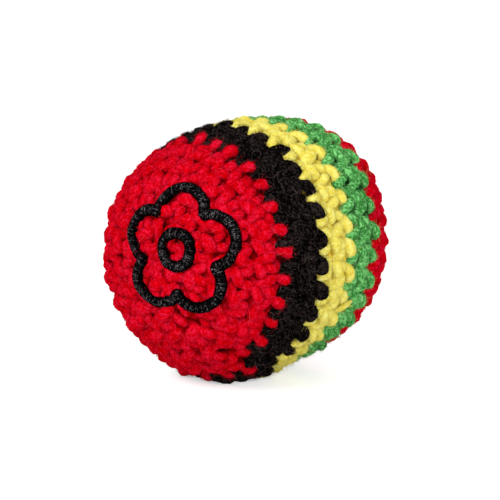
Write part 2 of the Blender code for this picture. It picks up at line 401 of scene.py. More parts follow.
def fibre_roots(skin, count, lowest, chance):
    """Where fibres leave the yarn's outer side, with the way out and along it."""
    ring, over, normal, tangent = skin
    lobe = chance.integers(0, len(ring), count)
    row = chance.integers(lowest, LAST_ROW, count)
    spoke = chance.integers(*OUTER_SIDES, count)
    root = ring[lobe, row, spoke] + chance.normal(0, ROOT_UNEVEN, (count, 3))
    out = normal[lobe, row, spoke]
    lay = tangent[lobe, row] + PLY_TWIST * np.cross(out, tangent[lobe, row])
    lay *= chance.choice([-1, 1], count)[:, None]
    return root, over[lobe, row * LOBE_SIDES + spoke], out, lay


def fibre_corners(heading, radius, chance):
    """The three corners of each fibre round its own line."""
    side = radius * unit(np.cross(heading, chance.normal(0, 1, heading.shape)))
    other = np.cross(heading, side)
    turn = turns(3)[None, :, None]
    return np.cos(turn) * side[:, None] + np.sin(turn) * other[:, None]


def fibre_part(places, over, corners, flat, share, mark, chance):
    """All the fibres of one kind, with a share of them marked."""
    count, each = places.shape[:2]
    maps = np.repeat(chance.uniform(0, FIBRE_MAP, (count, 1, 1, 2)), len(corners), 1)
    maps = np.repeat(maps, 4, 2).reshape(-1, 4, 2)
    over = np.where(chance.uniform(0, 1, count) < share, mark, over)
    sheet = np.repeat(np.array(flat)[corners][None], count, 0)
    faces = copied(corners, each, count)
    return above_floor(places).reshape(-1, 3), np.repeat(over, each), faces, maps, sheet


def short_fibres(skin, count, lowest, lint_and_sheen_share, chance):
    """The nap: short spikes that lie nearly along the yarn."""
    root, over, out, lay = fibre_roots(skin, count, lowest, chance)
    heading = unit(NAP_LIFT * out + NAP_LAY * lay + chance.normal(0, NAP_UNEVEN, (count, 3)))
    reach = NAP_LENGTH * chance.lognormal(0, NAP_LENGTH_SPREAD, count)
    base = root[:, None] + fibre_corners(heading, NAP_RADIUS, chance)
    tip = root + heading * reach[:, None]
    places = np.concatenate([base, tip[:, None]], 1)
    corners = np.array([(0, 1, 3, 3), (1, 2, 3, 3), (2, 0, 3, 3), (2, 1, 0, 0)])
    flat = ((0.0, 0.0), (1.0, 0.0), (0.5, 0.3), (0.5, 1.0))
    return fibre_part(places, over, corners, flat, lint_and_sheen_share, LINT_AND_SHEEN_MARK, chance)


def loose_fibres(skin, count, lowest, chance):
    """Longer stray hairs that bend away from the yarn."""
    root, over, out, lay = fibre_roots(skin, count, lowest, chance)
    heading = unit(STRAY_LIFT * out + STRAY_LAY * lay + chance.normal(0, STRAY_UNEVEN, (count, 3)))
    bend = out * chance.normal(*STRAY_BEND, count)[:, None] + chance.normal(0, STRAY_CURL, (count, 3))
    reach = STRAY_LENGTH * chance.lognormal(0, STRAY_LENGTH_SPREAD, count)
    along = np.array(STRAY_POINTS)[None, :, None]
    spots = root[:, None] + reach[:, None, None] * (along * heading[:, None] + along ** 2 / 2 * bend[:, None])
    base = spots[:, :2, None] + fibre_corners(heading, STRAY_RADIUS, chance)[:, None]
    places = np.concatenate([base.reshape(count, 6, 3), spots[:, 2:]], 1)
    corners = [(s, (s + 1) % 3, 3 + (s + 1) % 3, 3 + s) for s in range(3)]
    corners += [(3 + s, 3 + (s + 1) % 3, 6, 6) for s in range(3)] + [(2, 1, 0, 0)]
    flat = ((0.0, 0.0), (1.0, 0.0), (0.5, 0.2), (0.1, 0.5), (0.9, 0.5), (0.5, 0.6), (0.5, 1.0))
    return fibre_part(places, over, np.array(corners), flat, PALE_SHARE, PALE_MARK, chance)


# The backing's outer and inner face are given as mm over the skin and unevenness.
BACKING_SHIFT = 0.9
BACKING_COLUMNS = 180
BACKING_ROWS = 4
BACKING_EDGE = 0.35
BACKING_FACES = ((-2.15, 0.14), (-3.1, 0.0))
# The backing carries one height, deep enough for the full painted crevice shade.
BACKING_SHADE_HEIGHT = -2.2
BACKING_MAP = np.array((16.0, 1.0))


def backing(first, last, chance):
    """A plain closed layer of cloth behind the stitches of one colour, coloured with the painted crevice
    shade.
    """
    shares = np.linspace(0.0, 1.0, (last - first) * BACKING_ROWS + 1)
    angle = turns(BACKING_COLUMNS)
    low = round_line(first, angle) + (BACKING_SHIFT if first > 0 else 0.0)
    high = round_line(last, angle) + (BACKING_SHIFT if last < LAST_ROUND else 0.0)
    rows = []
    for (depth, uneven), order in zip(BACKING_FACES, (shares, shares[::-1])):
        for share in order:
            length = np.clip(low + share * (high - low), BACKING_EDGE, CLOTH_LENGTH - BACKING_EDGE)
            rows.append(on_ball(length, angle, depth + uneven * chance.normal(0, 1, BACKING_COLUMNS)))
    places = np.concatenate(rows)
    faces = ring_faces(len(rows), BACKING_COLUMNS, closed=True)
    sheet = cell_corners(len(rows), BACKING_COLUMNS)[..., ::-1] / np.array((BACKING_COLUMNS, len(rows)))
    return places, np.full(len(places), BACKING_SHADE_HEIGHT), faces, sheet * BACKING_MAP, sheet[None]


def plain_piece(name, places, faces, material):
    """One object from vertices in mm and faces."""
    mesh = bpy.data.meshes.new(name)
    mesh.from_pydata((places * MM).tolist(), [], faces)
    mesh.shade_smooth()
    mesh.materials.append(material)
    piece = bpy.data.objects.new(name, mesh)
    bpy.context.scene.collection.objects.link(piece)
    return piece


CELL_MARGIN = 0.05


def yarn_piece(name, parts, material):
    """One object from several sets of vertices, heights over the skin, faces and maps.

    The second map lays every loop of yarn out flat in a cell of its own."""
    across = math.ceil(math.sqrt(sum(len(part[4]) for part in parts)))
    faces, sheets, shift, cell = [], [], 0, 0
    for part_places, _, part_faces, _, part_sheet in parts:
        number = cell + np.arange(len(part_sheet))
        corner = np.stack([number % across, number // across], -1)[:, None, None]
        laid = corner + CELL_MARGIN + (1 - 2 * CELL_MARGIN) * part_sheet
        sheets.append((laid / across).reshape(-1, 4, 2))
        faces.append(part_faces + shift)
        shift += len(part_places)
        cell += len(part_sheet)
    places, over, _, maps, _ = zip(*parts)
    faces = np.concatenate(faces)
    corners = [tuple(face) if face[2] != face[3] else tuple(face[:3]) for face in faces.tolist()]
    piece = plain_piece(name, np.concatenate(places), corners, material)
    keep = np.ones((len(faces), 4), bool)
    keep[:, 3] = faces[:, 2] != faces[:, 3]
    for layer_name, found in (("yarn", maps), ("OFBake", sheets)):
        layer = piece.data.uv_layers.new(name=layer_name)
        layer.data.foreach_set("uv", np.concatenate(found)[keep].astype(np.float32).ravel())
    heights = piece.data.attributes.new("over_skin", "FLOAT", "POINT")
    heights.data.foreach_set("value", np.concatenate(over).astype(np.float32))
    return piece


def feed(tree, node, inputs):
    """Set a node's inputs to numbers and colours, or join them to other nodes."""
    for slot, value in inputs.items():
        if isinstance(value, bpy.types.NodeSocket):
            tree.links.new(value, node.inputs[slot])
        else:
            node.inputs[slot].default_value = (*value, 1) if isinstance(value, tuple) else value


def add_node(tree, kind, inputs, **settings):
    """One new shader node with its settings and its inputs."""
    node = tree.nodes.new("ShaderNode" + kind)
    for setting, value in settings.items():
        setattr(node, setting, value)
    feed(tree, node, inputs)
    return node


def maths(tree, operation, *values):
    """The result of one sum on numbers or other nodes' outputs."""
    return add_node(tree, "Math", dict(enumerate(values)), operation=operation).outputs[0]


def noise(tree, where, scale, **more):
    """A cloudy value at the given places."""
    return add_node(tree, "TexNoise", {"Vector": where, "Scale": scale, **more}).outputs["Fac"]


def blended(tree, share, first, second):
    """The first colour, with a share of the second."""
    return add_node(tree, "Mix", {0: share, 6: first, 7: second}, data_type="RGBA").outputs[2]


def stretched(tree, value, low, high, **settings):
    """A value from 0 at the low end to 1 at the high end."""
    inputs = {"Value": value, "From Min": low, "From Max": high}
    return add_node(tree, "MapRange", inputs, **settings).outputs["Result"]


def new_material(name):
    """A material, its tree of nodes and its shader."""
    material = bpy.data.materials.new(name)
    material.use_nodes = True
    return material, material.node_tree, material.node_tree.nodes["Principled BSDF"]


STRAND_TWIST = 1.6
STRANDS_ROUND = 2.9
STRANDS_ALONG = 7.0
FUZZ_SCALE = 1800.0
BROAD_SCALE = 240.0
FUZZ_HEIGHT = 0.45
YARN_BUMP = 0.6
YARN_BUMP_DEPTH = 0.0012
BROAD_SHARE = 0.15
STRAND_TONES = (0.49, 0.66)
PALE_FOCUS = 2.6
PAINTED_SHADE_TOP = -0.7
HAIR_HEIGHTS = (6.0, 8.0)


def yarn_fibre_group():
    """Colour and surface of spun acrylic yarn: fine twisted strands, and painted shade in the crevices
    between lobes.
    """
    group = bpy.data.node_groups.new("spun_yarn", "ShaderNodeTree")
    for name, direction, kind in (
        ("Colour", "INPUT", "Color"),
        ("Shade", "INPUT", "Color"),
        ("Light", "INPUT", "Color"),
        ("Painted Shade Colour", "INPUT", "Color"),
        ("Hair", "INPUT", "Color"),
        ("Strand Contrast", "INPUT", "Float"),
        ("Painted Shade Share", "INPUT", "Float"),
        ("Painted Shade Depth", "INPUT", "Float"),
        ("Colour", "OUTPUT", "Color"),
        ("Normal", "OUTPUT", "Vector"),
    ):
        group.interface.new_socket(name=name, in_out=direction, socket_type="NodeSocket" + kind)
    given = group.nodes.new("NodeGroupInput").outputs
    result = group.nodes.new("NodeGroupOutput")
    yarn_map = add_node(group, "UVMap", {}, uv_map="yarn").outputs["UV"]
    along, around = list(add_node(group, "SeparateXYZ", {0: yarn_map}).outputs)[:2]
    turned = maths(group, "ADD", around, maths(group, "MULTIPLY", along, STRAND_TWIST))
    turned = maths(group, "MULTIPLY", turned, 2 * math.pi)
    strand = add_node(group, "CombineXYZ", {
        0: maths(group, "MULTIPLY", maths(group, "COSINE", turned), STRANDS_ROUND),
        1: maths(group, "MULTIPLY", maths(group, "SINE", turned), STRANDS_ROUND),
        2: maths(group, "MULTIPLY", along, STRANDS_ALONG),
    }).outputs[0]
    fine = noise(group, strand, 1.0, Detail=3.0, Roughness=0.6)
    where = add_node(group, "TexCoord", {}).outputs["Object"]
    fuzz = noise(group, where, FUZZ_SCALE, Detail=2.0)
    broad = noise(group, where, BROAD_SCALE, Detail=2.0)
    height = maths(group, "ADD", fine, maths(group, "MULTIPLY", fuzz, FUZZ_HEIGHT))
    bump = add_node(group, "Bump", {"Strength": YARN_BUMP, "Distance": YARN_BUMP_DEPTH, "Height": height})
    tone = maths(group, "MULTIPLY", maths(group, "ADD", fine, fuzz), 0.5)
    tone = maths(group, "ADD", tone, maths(group, "MULTIPLY", broad, BROAD_SHARE))
    tone = stretched(group, tone, *STRAND_TONES)
    shaded = maths(group, "MULTIPLY", maths(group, "SUBTRACT", 1.0, tone), given["Strand Contrast"])
    colour = blended(group, shaded, given["Colour"], given["Shade"])
    lit = maths(group, "MULTIPLY", maths(group, "POWER", tone, PALE_FOCUS), given["Strand Contrast"])
    colour = blended(group, lit, colour, given["Light"])
    # Painted shade: the deeper the yarn lies under the tops of the stitches, the more it takes the painted
    # shade colour.
    over = add_node(group, "Attribute", {}, attribute_name="over_skin").outputs["Fac"]
    painted_shade = stretched(group, over, PAINTED_SHADE_TOP, given["Painted Shade Depth"], interpolation_type="SMOOTHSTEP")
    colour = blended(group, maths(group, "MULTIPLY", painted_shade, given["Painted Shade Share"]), colour, given["Painted Shade Colour"])
    # Marked fibres: the palest are lint; the brighter nap is partly lint and partly a painted sheen.
    colour = blended(group, stretched(group, over, *HAIR_HEIGHTS), colour, given["Hair"])
    feed(group, result, {"Colour": colour, "Normal": bump.outputs["Normal"]})
    return group


SPUN_YARN = yarn_fibre_group()


def yarn_material(name, yarn):
    """Soft acrylic yarn in one colour, from the values of its strands and of the painted shade in its
    crevices.
    """
    material, tree, shader = new_material(name)
    strands = add_node(tree, "Group", yarn, node_tree=SPUN_YARN)
    feed(tree, shader, {
        "Base Color": strands.outputs["Colour"],
        "Normal": strands.outputs["Normal"],
        "Roughness": 0.85,
        "Specular IOR Level": 0.0,
    })
    return material


FIRST_ROW = 3
FIRST_ROW_NEW_COLOUR = 5


def crocheted(name, section, material, chance, radius, wobble, nap, strays, lint_and_sheen_share, pulled=None):
    """The stitches, backing and loose fibres of one length of yarn."""
    first, last = ROUNDS_OF[section]
    parts, fuzz = [backing(first, last, chance)], []
    for number in range(first + 1, last + 1):
        paths, widths = stitch_paths(number, radius, chance, wobble)
        if pulled and number == last:
            paths, widths = (np.concatenate(pair) for pair in zip((paths, widths), pulled))
        yarn, skin = yarn_tubes(paths, widths, chance)
        parts.append(yarn)
        share = ROUND_STITCHES[number - 1] / sum(ROUND_STITCHES[first:last])
        lowest = FIRST_ROW_NEW_COLOUR if number - 1 in NUB_ROUNDS else FIRST_ROW
        fuzz.append(short_fibres(skin, int(nap * share), lowest, lint_and_sheen_share, chance))
        fuzz.append(loose_fibres(skin, int(strays * share), lowest, chance))
    return yarn_piece(name + "_yarn", parts, material), yarn_piece(name + "_fuzz", fuzz, material)


RED_YARN = yarn_material("red_yarn", {
    "Colour": (0.640, 0.0, 0.006),
    "Shade": (0.44, 0.0, 0.0005),
    "Light": (0.66, 0.011, 0.049),
    # Painted shade: this colour and the last two values darken the crevices between the lobes.
    "Painted Shade Colour": (0.20, 0.0, 0.0004),
    "Hair": (0.80, 0.12, 0.14),
    "Strand Contrast": 0.75,
    "Painted Shade Share": 0.95,
    "Painted Shade Depth": -1.75,
})
front_cover, front_cover_fuzz = crocheted(
    "front_cover", "front", RED_YARN, np.random.default_rng(11),
    radius=1.28, wobble=1.2, nap=45000, strays=1400, lint_and_sheen_share=0.03,
)
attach(front_cover, "root")
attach(front_cover_fuzz, "root")
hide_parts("front_cover")

# Black band: two rounds of black acrylic yarn, worked straight on from the red
# ones. The red top loops show as dots between its feet, and more of its nap
# is paler than on the other colours, partly as grey lint and partly as a
# painted sheen.
BLACK_YARN = yarn_material("black_yarn", {
    "Colour": (0.0014, 0.0010, 0.0010),
    "Shade": (0.0003, 0.0002, 0.0002),
    "Light": (0.028, 0.021, 0.019),
    # Painted shade: this colour and the last two values darken the crevices between the lobes.
    "Painted Shade Colour": (0.0, 0.0, 0.0),
    "Hair": (0.26, 0.18, 0.18),
    "Strand Contrast": 0.95,
    "Painted Shade Share": 0.6,
    "Painted Shade Depth": -2.3,
})
black_band, black_band_fuzz = crocheted(
    "black_band", "black", BLACK_YARN, np.random.default_rng(23),
    radius=1.20, wobble=1.0, nap=42000, strays=2800, lint_and_sheen_share=0.30,
)
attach(black_band, "root")
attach(black_band_fuzz, "root")
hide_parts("black_band")

# Yellow band: two rounds of lemon yellow acrylic yarn, worked on from the black.
# One strand of its last round was pulled out and lies across the green round.
# The strand's points are cloth length, degrees, mm over the skin and width in mm.
PULLED_STRAND = (
    (46.4, 120.0, -2.1, 0.95),
    (46.8, 116.4, -0.45, 0.80),
    (47.4, 113.0, 0.5, 0.58),
    (49.0, 111.6, 0.35, 0.30),
)
pulled_line = smooth_path(np.array(PULLED_STRAND)[None], LOBE_RINGS)
pulled_path = np.stack([pulled_line[..., 0], np.radians(pulled_line[..., 1]), pulled_line[..., 2]], -1)
YELLOW_YARN = yarn_material("yellow_yarn", {
    "Colour": (0.83, 0.75, 0.140),
    "Shade": (0.78, 0.63, 0.070),
    "Light": (0.86, 0.81, 0.25),
    # Painted shade: this warm colour and the last two values darken the crevices between the lobes.
    "Painted Shade Colour": (0.86, 0.55, 0.030),
    "Hair": (0.95, 0.92, 0.55),
    "Strand Contrast": 0.9,
    "Painted Shade Share": 0.75,
    "Painted Shade Depth": -1.8,
})
yellow_band, yellow_band_fuzz = crocheted(
    "yellow_band", "yellow", YELLOW_YARN, np.random.default_rng(37),
    radius=1.15, wobble=1.0, nap=19000, strays=600, lint_and_sheen_share=0.10, pulled=(pulled_path, pulled_line[..., 3]),
)
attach(yellow_band, "root")
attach(yellow_band_fuzz, "root")
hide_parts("yellow_band")

# Green band: two rounds of bright green acrylic yarn, worked on from the yellow.
# The yarn is pulled a little tighter here, so that its gaps are deep and shadowed, and painted shade darkens
# them further.
GREEN_YARN = yarn_material("green_yarn", {
    "Colour": (0.128, 0.490, 0.112),
    "Shade": (0.012, 0.15, 0.021),
    "Light": (0.27, 0.69, 0.25),
    # Painted shade: this colour and the last two values darken the crevices between the lobes.
    "Painted Shade Colour": (0.001, 0.020, 0.004),
    "Hair": (0.50, 0.80, 0.45),
    "Strand Contrast": 0.85,
    "Painted Shade Share": 0.9,
    "Painted Shade Depth": -1.5,
})
green_band, green_band_fuzz = crocheted(
    "green_band", "green", GREEN_YARN, np.random.default_rng(41),
    radius=0.97, wobble=1.0, nap=18000, strays=600, lint_and_sheen_share=0.12,
)
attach(green_band, "root")
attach(green_band_fuzz, "root")
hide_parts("green_band")

# Back dome: seven rounds of the same red yarn, worked on from the green. The
# last four lose six stitches each and are drawn together to a point.
back_cover, back_cover_fuzz = crocheted(
    "back_cover", "back", RED_YARN, np.random.default_rng(59),
    radius=1.15, wobble=1.2, nap=36000, strays=2000, lint_and_sheen_share=0.03,
)
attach(back_cover, "root")
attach(back_cover_fuzz, "root")
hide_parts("back_cover")

# Motif on the front dome: a flower outline and its centre in glossy black
# thread, sewn through the finished crochet in satin stitch, so that it stands
# about a millimetre over the yarn and shows the threads side by side. Its gloss
# is painted: the thread crowns and the top side of each line carry painted
# highlights, broken into painted glints.
MOTIF_CLOTH = 7.65
MOTIF_DEGREES = 67.1
PETALS = 5
PETAL_PLACE = 7.9
PETAL_RADIUS = 5.25
PETAL_POINTS = 2000
CENTRE_RADIUS = 3.3
CENTRE_POINTS = 400
LINE_HALF_WIDTH = 1.06
LINE_RISE = 0.9
LINE_LIFT = -0.2
LINE_STEP = 0.07
LINE_SIDES = 16
CORNER_SPREAD = 5
OUTSIDE = 45.0
DRAPE_REACH = (-14, -7, 0, 7, 14)
DRAPE_SPREAD = 18
THREAD_PITCH = 0.40
THREAD_RELIEF = 0.078
THREAD_LEAN = 0.55
THREAD_FULLNESS = 0.8
THREAD_TONES = (0.4, 1.0)
SEWN_UNEVEN = 0.05
SEWN_SPREAD = 2
PAINTED_HIGHLIGHT_SIDE = 0.12
PAINTED_HIGHLIGHT_FOCUS = 1.6

front_places = np.empty(len(front_cover.data.vertices) * 3, np.float32)
front_cover.data.vertices.foreach_get("co", front_places)
front_tree = BVHTree.FromPolygons(
    front_places.reshape(-1, 3).tolist(), [tuple(face.vertices) for face in front_cover.data.polygons]
)


def petal_edge():
    """The flower's outline in mm from its middle: five arcs that meet in notches."""
    turn = turns(PETAL_POINTS)
    half = math.pi / PETALS
    away = np.mod(turn + half, 2 * half) - half
    reach = PETAL_PLACE * np.cos(away) + np.sqrt(PETAL_RADIUS ** 2 - (PETAL_PLACE * np.sin(away)) ** 2)
    return np.stack([reach * np.sin(turn), reach * np.cos(turn)], -1)


def centre_edge():
    """The small ring in the flower's middle, in mm."""
    turn = turns(CENTRE_POINTS)
    return CENTRE_RADIUS * np.stack([np.sin(turn), np.cos(turn)], -1)


def evenly(line, step):
    """Points at even steps along a closed line."""
    closed = np.concatenate([line, line[:1]])
    length = np.concatenate([[0], np.cumsum(np.linalg.norm(np.diff(closed, axis=0), axis=1))])
    places = np.linspace(0, length[-1], int(round(length[-1] / step)), endpoint=False)
    return np.stack([np.interp(places, length, closed[:, axis]) for axis in range(closed.shape[1])], -1)


def smoothed(values, spread):
    """A closed run of values, evened out over about `spread` samples."""
    reach = np.arange(-3 * spread, 3 * spread + 1)
    weight = np.exp(-0.5 * (reach / spread) ** 2)
    weight /= weight.sum()
    return sum(w * np.roll(values, int(r), 0) for w, r in zip(weight, reach))


def satin_line(line, chance):
    """One closed line of satin stitch over the yarn: vertices, faces and thread tone, with a painted
    highlight on the thread crowns and the line's top side.
    """
    line = smoothed(evenly(line, LINE_STEP), CORNER_SPREAD)
    middle = on_ball(MOTIF_CLOTH, math.radians(MOTIF_DEGREES), 0.0) - RING_CENTRE
    ahead = unit(middle)
    above = unit(np.array((0.0, 0.0, 1.0)) - ahead[2] * ahead)
    rays = unit(middle + line[:, :1] * np.cross(above, ahead) + line[:, 1:] * above)
    reach = []
    for ray in rays:
        start = Vector((RING_CENTRE + ray * OUTSIDE) * MM)
        reach.append(OUTSIDE - front_tree.ray_cast(start, Vector(-ray))[3] / MM)
    reach = smoothed(np.maximum.reduce([np.roll(reach, shift) for shift in DRAPE_REACH]), DRAPE_SPREAD)
    centre = RING_CENTRE + rays * (reach + LINE_LIFT)[:, None]
    tangent = unit(np.roll(centre, -1, 0) - np.roll(centre, 1, 0))
    side = unit(np.cross(tangent, rays))
    up = np.cross(side, tangent)
    count = len(centre)
    turn = turns(LINE_SIDES)
    threads = max(int(round(count * LINE_STEP / THREAD_PITCH)), 1)
    along = np.arange(count)[:, None] / count * threads + THREAD_LEAN * np.cos(turn)[None]
    crown = np.abs(np.sin(math.pi * along)) ** THREAD_FULLNESS
    tone = chance.uniform(*THREAD_TONES, threads)[np.mod(np.floor(along).astype(int), threads)]
    ridge = THREAD_RELIEF * crown * (1 + tone)
    uneven = smoothed(chance.normal(0, SEWN_UNEVEN, count), SEWN_SPREAD)
    width = LINE_HALF_WIDTH * (1 + uneven)[:, None] + ridge
    rise = LINE_RISE + ridge
    places = (
        centre[:, None]
        + (width * np.cos(turn))[..., None] * side[:, None]
        + (rise * np.sin(turn))[..., None] * up[:, None]
    )
    # Painted highlight: the top side of each line is painted lighter than its sides, and the thread crowns
    # lighter than the dips.
    lit = PAINTED_HIGHLIGHT_SIDE + (1 - PAINTED_HIGHLIGHT_SIDE) * np.maximum(np.sin(turn), 0.0) ** PAINTED_HIGHLIGHT_FOCUS
    return places.reshape(-1, 3), ring_faces(count, LINE_SIDES, closed=True), (crown * tone * lit).ravel()


def colour_ramp(tree, value, stops):
    """The colour at a value between stops of place and colour."""
    ramp = add_node(tree, "ValToRGB", {"Fac": value})
    elements = ramp.color_ramp.elements
    for element, (place, colour) in zip((elements[0], elements[1]), (stops[0], stops[-1])):
        element.position = place
        element.color = (*colour, 1)
    for place, colour in stops[1:-1]:
        elements.new(place).color = (*colour, 1)
    return ramp.outputs["Color"]


THREAD_GRAIN = 2600.0
THREAD_BUMP = 0.6
THREAD_BUMP_DEPTH = 0.0002
PAINTED_GLINT_RANGE = (0.36, 0.72)
# Thread colours from the dark thread up to the painted highlight.
THREAD_AND_HIGHLIGHT_COLOURS = (
    (0.04, (0.0006, 0.0006, 0.0007)),
    (0.22, (0.0050, 0.0045, 0.0050)),
    (0.60, (0.1050, 0.0980, 0.1020)),
)


def satin_material():
    """Black machine thread whose gloss is painted into its colour as highlights and glints; the threads
    themselves are in the mesh.
    """
    material, tree, shader = new_material("embroidery_thread")
    grain = noise(tree, add_node(tree, "TexCoord", {}).outputs["Object"], THREAD_GRAIN, Detail=2.0)
    thread = add_node(tree, "Attribute", {}, attribute_name="thread_tone_and_highlight").outputs["Fac"]
    # Painted glints: the painted thread highlight, broken into specks by the grain.
    painted_glints = maths(tree, "MULTIPLY", thread, stretched(tree, grain, *PAINTED_GLINT_RANGE))
    bump = add_node(tree, "Bump", {"Strength": THREAD_BUMP, "Distance": THREAD_BUMP_DEPTH, "Height": grain})
    feed(tree, shader, {
        "Base Color": colour_ramp(tree, painted_glints, THREAD_AND_HIGHLIGHT_COLOURS),
        "Normal": bump.outputs["Normal"],
        "Roughness": 0.34,
        "Specular IOR Level": 0.0,
    })
    return material


flower_chance = np.random.default_rng(71)
outline_places, outline_faces, outline_tone_and_highlight = satin_line(petal_edge(), flower_chance)
centre_places, centre_faces, centre_tone_and_highlight = satin_line(centre_edge(), flower_chance)
motif = plain_piece(
    "flower_motif",
    np.concatenate([outline_places, centre_places]),
    outline_faces.tolist() + (centre_faces + len(outline_places)).tolist(),
    satin_material(),
)
thread_tone_and_highlight = motif.data.attributes.new("thread_tone_and_highlight", "FLOAT", "POINT")
thread_tone_and_highlight.data.foreach_set("value", np.concatenate([outline_tone_and_highlight, centre_tone_and_highlight]).astype(np.float32))
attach(motif, "root")

# Liner pouch: a flat round of plain cream cotton cloth drawn up into a bag
# inside the crochet. Its pleats deepen towards the neck under the back dome
# and the gathered edge flares out again past the tie.
POUCH_DEPTH = 3.5
POUCH_WALL = 0.4
POUCH_START = 0.4
NECK_LENGTH = 5.0
NECK_DIMPLE = 11.0
NECK_BASE = 3.1
NECK_PINCH = 2.85
NECK_FLARE = 4.1
NECK_BORE = 0.9
NECK_WAVE = 0.16
PINCH_RISE = 0.5
PINCH_SPREAD = 0.16
FLARE_WAVE = 0.68
FLARE_WAVE_RISE = 0.55
BORE_FLARE = 1.6
BORE_FLARE_RISE = 0.6
BORE_WAVE_SHARE = 0.5
NECK_RISES = np.linspace(0.08, 1.0, 14)
PLEATS = 17
PLEAT_DRIFTS = ((0.9, 2, 0.4), (0.5, 5, 0.0))
PLEAT_DEPTH = 0.07
NECK_PLEAT = 0.42
PLEAT_LENGTH = 27.0
PLEAT_GROWTH = 1.6
CRUMPLE = 0.06
CRUMPLES_ROUND = 5
CRUMPLE_LEAN = 0.7
CRUMPLE_PITCH = 0.45
CLOTH_UNEVEN = 0.008
CLOTH_SEED = 83
POUCH_ROWS = 80
POUCH_COLUMNS = 204


def dimple_depth(cloth, depth):
    """Depth under the skin of a layer that dips round the pouch's neck."""
    share = np.clip((CLOTH_LENGTH - cloth) / NECK_DIMPLE, 0.0, 1.0)
    return depth + NECK_LENGTH * (0.5 + 0.5 * np.cos(math.pi * share))


def folds(angle):
    """The pleats' wave round the neck, uneven as hand-drawn gathers are."""
    drift = sum(size * np.sin(waves * angle + start) for size, waves, start in PLEAT_DRIFTS)
    return np.sin(PLEATS * angle + drift)


def pouch_layer(cloth, depth, chance):
    """One face of the cloth, with pleats that grow towards the neck."""
    angle = turns(POUCH_COLUMNS)[None]
    cloth, below = cloth[:, None], dimple_depth(cloth, depth)[:, None]
    grow = np.clip(1 - (CLOTH_LENGTH - cloth) / PLEAT_LENGTH, 0.0, 1.0) ** PLEAT_GROWTH
    size = PLEAT_DEPTH * np.clip(cloth / CLOTH_LENGTH, 0.0, 1.0) + NECK_PLEAT * grow
    crease = CRUMPLE * np.sin(CRUMPLES_ROUND * angle + cloth * CRUMPLE_LEAN) * np.sin(cloth * CRUMPLE_PITCH)
    crease = crease + chance.normal(0, CLOTH_UNEVEN, crease.shape)
    return on_ball(cloth, angle, -(below + CRUMPLE) + size * (folds(angle) - 1) + crease)


def neck_rings(last):
    """The gathered neck from its foot up to the flared edge, and its bore."""
    angle = turns(POUCH_COLUMNS)
    outer, inner = [], []
    for rise in NECK_RISES:
        ring = on_ball(last, angle, -(POUCH_DEPTH + NECK_LENGTH * (1 - rise)))
        middle = ring.mean(0)
        out = unit(ring - middle)
        pinch = math.exp(-((rise - PINCH_RISE) / PINCH_SPREAD) ** 2)
        flare = (NECK_FLARE - NECK_BASE) * max(rise - PINCH_RISE, 0.0) / (1 - PINCH_RISE)
        width = NECK_BASE + flare - (NECK_BASE - NECK_PINCH) * pinch
        wave = (NECK_WAVE + FLARE_WAVE * max(rise - FLARE_WAVE_RISE, 0.0)) * folds(angle)[:, None]
        bore = NECK_BORE + BORE_FLARE * max(rise - BORE_FLARE_RISE, 0.0) + BORE_WAVE_SHARE * wave
        outer.append(middle + (width + wave) * out)
        inner.append(middle + bore * out)
    return outer + inner[::-1]


def closed_tube(rings, sides):
    """Faces of a tube of rings, with fans at its ends round the two points after them."""
    faces = ring_faces(rings, sides).tolist()
    last, end = (rings - 1) * sides, rings * sides
    for step in range(sides):
        after = (step + 1) % sides
        faces.append((after, step, end))
        faces.append((last + step, last + after, end + 1))
    return faces


def pouch_mesh():
    """The pouch's cloth as one closed body, with its layout as flat cloth."""
    rows = np.linspace(POUCH_START, CLOTH_LENGTH - NECK_BASE, POUCH_ROWS)
    outside = pouch_layer(rows, POUCH_DEPTH, np.random.default_rng(CLOTH_SEED))
    inside = pouch_layer(rows, POUCH_DEPTH + POUCH_WALL, np.random.default_rng(CLOTH_SEED))
    layers = list(outside) + neck_rings(rows[-1]) + list(inside[::-1])
    edge = rows[-1] + NECK_LENGTH * NECK_RISES
    reach = np.concatenate([rows, edge, edge[::-1], rows[::-1]])
    angle = turns(POUCH_COLUMNS)
    layout = reach[:, None, None] * np.stack([np.cos(angle), np.sin(angle)], -1)[None] / MAP_LENGTH
    layout = np.concatenate([layout.reshape(-1, 2), np.zeros((2, 2))])
    places = np.concatenate(layers + [outside[0].mean(0)[None], inside[0].mean(0)[None]])
    return places, closed_tube(len(layers), POUCH_COLUMNS), layout


SLUB_SCALE = 420.0
WEAVE_UNEVEN = 0.6
WEAVE_RELIEF = 0.0001
WEAVE_TONES = (0.3, 1.0)


def woven_material(name, colour, shade, ridges, laid_flat):
    """Cotton thread: crossing ridges with slubs, along the flat cloth if it has a layout."""
    material, tree, shader = new_material(name)
    where = add_node(tree, "TexCoord", {}).outputs["Object"]
    spread = add_node(tree, "UVMap", {}, uv_map="cloth").outputs["UV"] if laid_flat else where
    weave = [
        add_node(
            tree, "TexWave", {"Vector": spread, "Scale": ridges, "Distortion": WEAVE_UNEVEN},
            bands_direction=direction,
        ).outputs["Fac"]
        for direction in ("X", "Y")
    ]
    total = maths(tree, "ADD", maths(tree, "MULTIPLY", *weave), noise(tree, where, SLUB_SCALE))
    bump = add_node(tree, "Bump", {"Distance": WEAVE_RELIEF, "Height": total})
    feed(tree, shader, {
        "Base Color": colour_ramp(tree, total, list(zip(WEAVE_TONES, (shade, colour)))),
        "Normal": bump.outputs["Normal"],
        "Roughness": 0.85,
        "Specular IOR Level": 0.2,
    })
    return material


